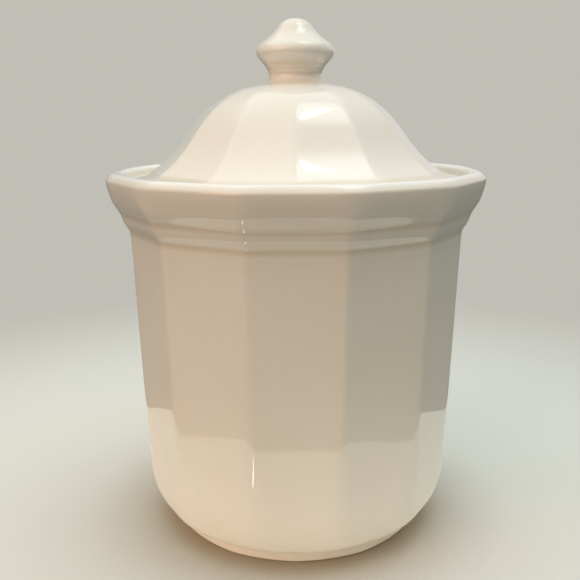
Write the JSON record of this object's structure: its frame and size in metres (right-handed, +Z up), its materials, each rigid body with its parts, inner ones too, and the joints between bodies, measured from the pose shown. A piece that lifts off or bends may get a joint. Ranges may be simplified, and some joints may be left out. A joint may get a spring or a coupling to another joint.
{
  "type": "canister",
  "caption": "Faceted glazed stoneware kitchen canister with a banded flaring rim, a foot ring and a domed lid that lifts off by a finial knob.",
  "frame": {"origin": "centre of the foot ring's underside, in the plane of the table", "axes": "+Z up along the canister's axis through the knob's tip; -Y is the front, square to one flat side of the jar"},
  "size_m": [0.1834, 0.1834, 0.254],
  "materials": {
    "jar_glaze": "glossy cream glaze over stoneware, bare on the foot ring's underside",
    "lid_glaze": "glossy cream glaze over stoneware",
    "seal_silicone": "soft translucent off-white silicone"
  },
  "bodies": {
    "jar": {"canister_jar": "jar_glaze"},
    "seal": {"lid_seal": "seal_silicone"},
    "lid": {"canister_lid": "lid_glaze"}
  },
  "joints": [
    {"name": "lid_lift", "type": "slide", "parent": "jar", "child": "seal", "axis": [0, 0, 1], "range_m": [0, 0.06]},
    {"name": "lid_turn", "type": "hinge", "parent": "seal", "child": "lid", "pos_m": [0, 0, 0.174], "axis": [0, 0, 1], "continuous": true}
  ]
}
